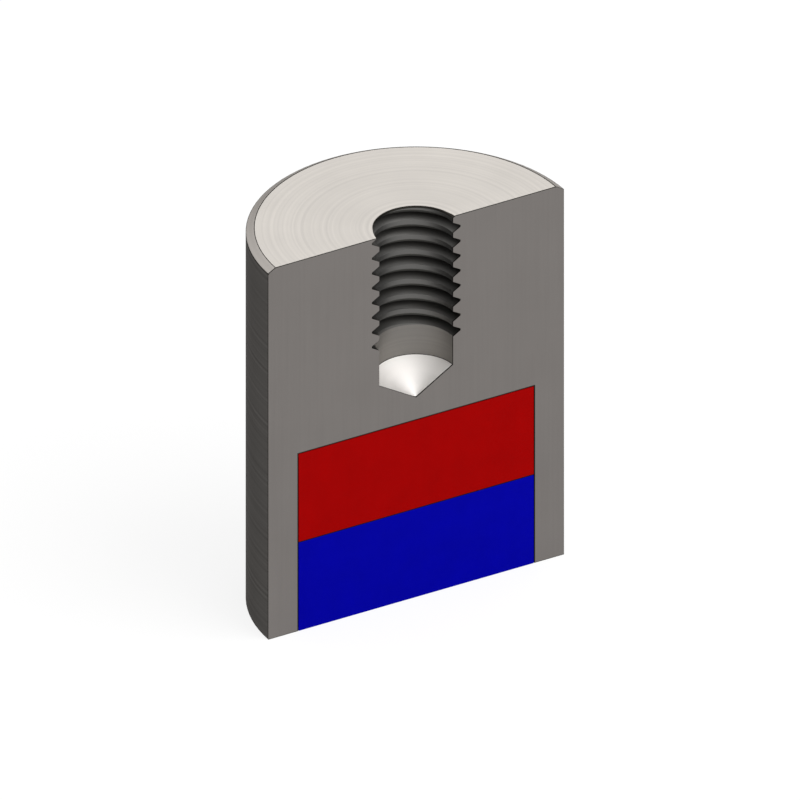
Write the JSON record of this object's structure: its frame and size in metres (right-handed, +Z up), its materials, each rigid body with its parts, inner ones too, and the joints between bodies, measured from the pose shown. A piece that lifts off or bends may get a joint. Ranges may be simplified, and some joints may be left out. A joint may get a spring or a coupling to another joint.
{
  "type": "pot magnet",
  "caption": "Half-section of a cylindrical pot magnet: turned steel housing cut along its axis, with a tapped blind hole above and a bonded magnet flush with the pole face.",
  "frame": {"origin": "on the turning axis, in the pole face at the bottom", "axes": "+Z up the turning axis towards the tapped end; the section plane is y = 0 and faces -Y, with the kept half at +Y; +X to the right of the section face"},
  "size_m": [0.02, 0.01, 0.025],
  "materials": {
    "turned_steel": "bright turned steel, satin on the section face",
    "pole_enamel": "even enamel, red on the inner pole and blue on the pole at the face"
  },
  "bodies": {
    "root": {"housing": "turned_steel", "magnet": "pole_enamel"}
  },
  "joints": []
}
